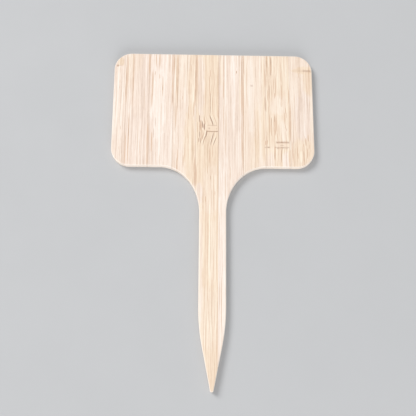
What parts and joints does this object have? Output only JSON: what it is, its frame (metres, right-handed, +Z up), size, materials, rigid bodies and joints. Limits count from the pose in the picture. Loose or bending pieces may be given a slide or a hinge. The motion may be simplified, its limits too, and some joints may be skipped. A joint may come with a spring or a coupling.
{
  "type": "plant label stake",
  "caption": "T-shaped plant label of edge-glued bamboo strips: a writing plate with round corners on a straight stem that tapers to a point for the soil.",
  "frame": {"origin": "under the middle of the stake's length, on the plate's and the stem's back face", "axes": "+X to the right across the writing plate, +Y from the point towards the plate's top edge, +Z up out of the writing face as the stake lies on its back"},
  "size_m": [0.06, 0.1, 0.002],
  "materials": {
    "pale_bamboo": "matte",
    "warm_bamboo": "matte",
    "cured_glue": "matte"
  },
  "bodies": {
    "root": {"left_strip_4": "pale_bamboo", "left_strip_3": "warm_bamboo", "left_strip_2": "pale_bamboo", "left_strip_1": "pale_bamboo", "stem_strip_left": "warm_bamboo", "stem_strip_right": "pale_bamboo", "right_strip_1": "pale_bamboo", "right_strip_2": "warm_bamboo", "right_strip_3": "pale_bamboo", "left_glue_film_4": "cured_glue", "left_glue_film_3": "cured_glue", "left_glue_film_2": "cured_glue", "left_glue_film_1": "cured_glue", "stem_glue_film": "cured_glue", "right_glue_film_1": "cured_glue", "right_glue_film_2": "cured_glue", "right_glue_film_3": "cured_glue"}
  },
  "joints": []
}
